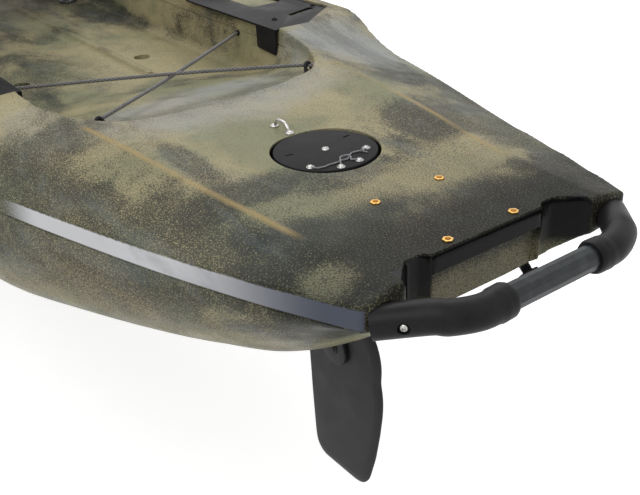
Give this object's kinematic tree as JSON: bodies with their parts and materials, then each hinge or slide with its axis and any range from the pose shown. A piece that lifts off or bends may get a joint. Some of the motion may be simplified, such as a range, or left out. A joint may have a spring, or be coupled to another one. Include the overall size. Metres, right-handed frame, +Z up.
{
  "type": "pedal kayak",
  "caption": "Moulded sit-on-top pedal kayak with a kick-up rudder, twin swinging fins, a framed seat, a cargo well under crossed shock cords, hatches, rails and carry handles.",
  "frame": {"origin": "middle of the keel's flat bottom, amidships", "axes": "+X to the bow, +Y to port, +Z up"},
  "size_m": [3.8864, 0.864, 1.2897],
  "materials": {
    "hull": "rotomoulded polyethylene, mottled tan, olive, grey and charcoal",
    "black_plastic": "matt moulded nylon",
    "rubber": "soft grip rubber",
    "tube": "dark slate coated tube",
    "blade": "matt dark grey",
    "cord": "woven shock cord cover",
    "line": "braided line",
    "brass": "satin brass",
    "steel": "satin stainless steel",
    "aluminium": "satin anodised",
    "fin": "matt flexible plastic",
    "fabric": "woven mesh fabric",
    "lid": "moulded plastic"
  },
  "bodies": {
    "boat": {"hull": "hull", "stern_handle_tube": "tube", "deck_padeye": "steel", "drive_housing": "black_plastic", "seat_frame": "aluminium", "seat_cushion": "fabric", "bow_handle": "rubber", "stern_handle_elbow_port": "rubber", "stern_handle_screw_port": "steel", "deck_insert_aft_port": "brass", "deck_insert_fore_port": "brass", "steering_line_port": "line", "well_bracket_port": "black_plastic", "shock_cord_port": "cord", "cord_eye_aft_port": "black_plastic", "cord_eye_fore_port": "black_plastic", "side_rail_port": "tube", "stern_handle_elbow_starboard": "rubber", "stern_handle_screw_starboard": "steel", "deck_insert_aft_starboard": "brass", "deck_insert_fore_starboard": "brass", "steering_line_starboard": "line", "well_bracket_starboard": "black_plastic", "shock_cord_starboard": "cord", "cord_eye_aft_starboard": "black_plastic", "cord_eye_fore_starboard": "black_plastic", "side_rail_starboard": "tube"},
    "rudder_head": {"rudder_drum": "black_plastic", "rudder_drum_screw": "steel", "rudder_drum_cord": "line", "rudder_stock": "black_plastic", "rudder_pivot_pin": "steel"},
    "blade": {"rudder_blade": "blade"},
    "steering_port": {"steering_handle_port": "black_plastic"},
    "steering_starboard": {"steering_handle_starboard": "black_plastic"},
    "pull_up": {"rudder_up_handle": "black_plastic"},
    "pull_down": {"rudder_down_handle": "black_plastic"},
    "crank_port": {"drive_crank_port": "aluminium"},
    "crank_starboard": {"drive_crank_starboard": "aluminium"},
    "pedal_port": {"drive_pedal_port": "black_plastic"},
    "pedal_starboard": {"drive_pedal_starboard": "black_plastic"},
    "drum_fore": {"drive_drum_fore": "steel"},
    "drum_aft": {"drive_drum_aft": "steel"},
    "mast_fore": {"drive_mast_fore": "steel", "drive_fin_fore": "fin"},
    "mast_aft": {"drive_mast_aft": "steel", "drive_fin_aft": "fin"},
    "shift_ahead": {"drive_shift_ahead": "black_plastic"},
    "shift_astern": {"drive_shift_astern": "black_plastic"},
    "lock_port": {"drive_lock_port": "black_plastic"},
    "lock_starboard": {"drive_lock_starboard": "black_plastic"},
    "seat_back": {"seat_back_frame": "aluminium", "seat_back_cushion": "fabric"},
    "bow_lid": {"bow_hatch_lid": "lid"},
    "bow_latch": {"bow_hatch_latch": "black_plastic"},
    "floor_lid": {"floor_hatch_lid": "lid"},
    "floor_latch": {"floor_hatch_latch": "black_plastic"},
    "carry_port": {"carry_handle_port": "rubber"},
    "carry_starboard": {"carry_handle_starboard": "rubber"},
    "drain": {"drain_plug": "black_plastic"}
  },
  "joints": [
    {"name": "rudder_steer", "type": "hinge", "parent": "boat", "child": "rudder_head", "pos_m": [-1.578, 0, 0.2], "axis": [0, 0, 1], "range_deg": [-38, 38]},
    {"name": "rudder_kick", "type": "hinge", "parent": "rudder_head", "child": "blade", "pos_m": [-1.596, 0, 0], "axis": [0, 1, 0], "range_deg": [0, 85]},
    {"name": "steer_port", "type": "hinge", "parent": "boat", "child": "steering_port", "pos_m": [0.06, 0.322, 0.3], "axis": [0, 0, 1], "range_deg": [-38, 38]},
    {"name": "steer_starboard", "type": "hinge", "parent": "boat", "child": "steering_starboard", "pos_m": [0.06, -0.322, 0.3], "axis": [0, 0, 1], "range_deg": [-38, 38]},
    {"name": "rudder_up_pull", "type": "slide", "parent": "boat", "child": "pull_up", "axis": [0, 0, 1], "range_m": [0, 0.02]},
    {"name": "rudder_down_pull", "type": "slide", "parent": "boat", "child": "pull_down", "axis": [0, 0, 1], "range_m": [-0.02, 0]},
    {"name": "crank_port_swing", "type": "hinge", "parent": "boat", "child": "crank_port", "pos_m": [0.57, 0, 0.17], "axis": [0, 1, 0], "range_deg": [-32, 32]},
    {"name": "crank_starboard_swing", "type": "hinge", "parent": "boat", "child": "crank_starboard", "pos_m": [0.57, 0, 0.17], "axis": [0, 1, 0], "range_deg": [-32, 32]},
    {"name": "drum_fore_swing", "type": "hinge", "parent": "boat", "child": "drum_fore", "pos_m": [0.665, 0, -0.014], "axis": [1, 0, 0], "range_deg": [-64, 64]},
    {"name": "drum_aft_swing", "type": "hinge", "parent": "boat", "child": "drum_aft", "pos_m": [0.475, 0, -0.014], "axis": [1, 0, 0], "range_deg": [-64, 64]},
    {"name": "mast_fore_turn", "type": "hinge", "parent": "drum_fore", "child": "mast_fore", "pos_m": [0.665, 0, -0.04], "axis": [0, 0, 1], "range_deg": [0, 180]},
    {"name": "mast_aft_turn", "type": "hinge", "parent": "drum_aft", "child": "mast_aft", "pos_m": [0.475, 0, -0.04], "axis": [0, 0, 1], "range_deg": [0, 180]},
    {"name": "shift_ahead_pull", "type": "slide", "parent": "boat", "child": "shift_ahead", "axis": [0, 0, 1], "range_m": [0, 0.024]},
    {"name": "shift_astern_pull", "type": "slide", "parent": "boat", "child": "shift_astern", "axis": [0, 0, 1], "range_m": [-0.024, 0]},
    {"name": "pedal_port_tilt", "type": "hinge", "parent": "crank_port", "child": "pedal_port", "pos_m": [0.57, 0.11, 0.5], "axis": [0, 1, 0], "range_deg": [-30, 30]},
    {"name": "lock_port_swing", "type": "hinge", "parent": "boat", "child": "lock_port", "pos_m": [0.555, 0.084, 0.1274], "axis": [-1, 0, 0], "range_deg": [0, 80]},
    {"name": "carry_port_lift", "type": "hinge", "parent": "boat", "child": "carry_port", "pos_m": [-0.64, 0.376, 0.34602], "axis": [-1, 0, 0], "range_deg": [0, 110]},
    {"name": "pedal_starboard_tilt", "type": "hinge", "parent": "crank_starboard", "child": "pedal_starboard", "pos_m": [0.57, -0.11, 0.5], "axis": [0, 1, 0], "range_deg": [-30, 30]},
    {"name": "lock_starboard_swing", "type": "hinge", "parent": "boat", "child": "lock_starboard", "pos_m": [0.555, -0.084, 0.1274], "axis": [1, 0, 0], "range_deg": [0, 80]},
    {"name": "carry_starboard_lift", "type": "hinge", "parent": "boat", "child": "carry_starboard", "pos_m": [-0.64, -0.376, 0.34602], "axis": [1, 0, 0], "range_deg": [0, 110]},
    {"name": "seat_back_fold", "type": "hinge", "parent": "boat", "child": "seat_back", "pos_m": [-0.306, 0, 0.396], "axis": [0, 1, 0], "range_deg": [-10, 60]},
    {"name": "bow_lid_open", "type": "hinge", "parent": "boat", "child": "bow_lid", "pos_m": [1.599, 0, 0.45018], "axis": [0, 1, 0], "range_deg": [0, 100]},
    {"name": "bow_latch_turn", "type": "hinge", "parent": "bow_lid", "child": "bow_latch", "pos_m": [1.2394, 0, 0.45], "axis": [0, 0, 1], "range_deg": [0, 90]},
    {"name": "floor_lid_open", "type": "hinge", "parent": "boat", "child": "floor_lid", "pos_m": [0.162, 0, 0.1308], "axis": [0, -1, 0], "range_deg": [0, 95]},
    {"name": "floor_latch_turn", "type": "hinge", "parent": "floor_lid", "child": "floor_latch", "pos_m": [0.28696, 0, 0.13], "axis": [0, 0, -1], "range_deg": [0, 90]},
    {"name": "drain_unscrew", "type": "hinge", "parent": "boat", "child": "drain", "pos_m": [-1.853, -0.096, 0.2], "axis": [-0.7433, 0, -0.669], "continuous": true}
  ],
  "couplings": [
    {"joint": "steer_port", "follows": "rudder_steer", "ratio": 1},
    {"joint": "steer_starboard", "follows": "rudder_steer", "ratio": 1},
    {"joint": "rudder_up_pull", "follows": "rudder_kick", "m_per_rad": 0.01348},
    {"joint": "rudder_down_pull", "follows": "rudder_kick", "m_per_rad": -0.01348},
    {"joint": "crank_starboard_swing", "follows": "crank_port_swing", "ratio": -1},
    {"joint": "drum_fore_swing", "follows": "crank_port_swing", "ratio": 2},
    {"joint": "drum_aft_swing", "follows": "crank_port_swing", "ratio": -2},
    {"joint": "mast_aft_turn", "follows": "mast_fore_turn", "ratio": 1},
    {"joint": "shift_ahead_pull", "follows": "mast_fore_turn", "m_per_rad": 0.007639},
    {"joint": "shift_astern_pull", "follows": "mast_fore_turn", "m_per_rad": -0.007639}
  ]
}
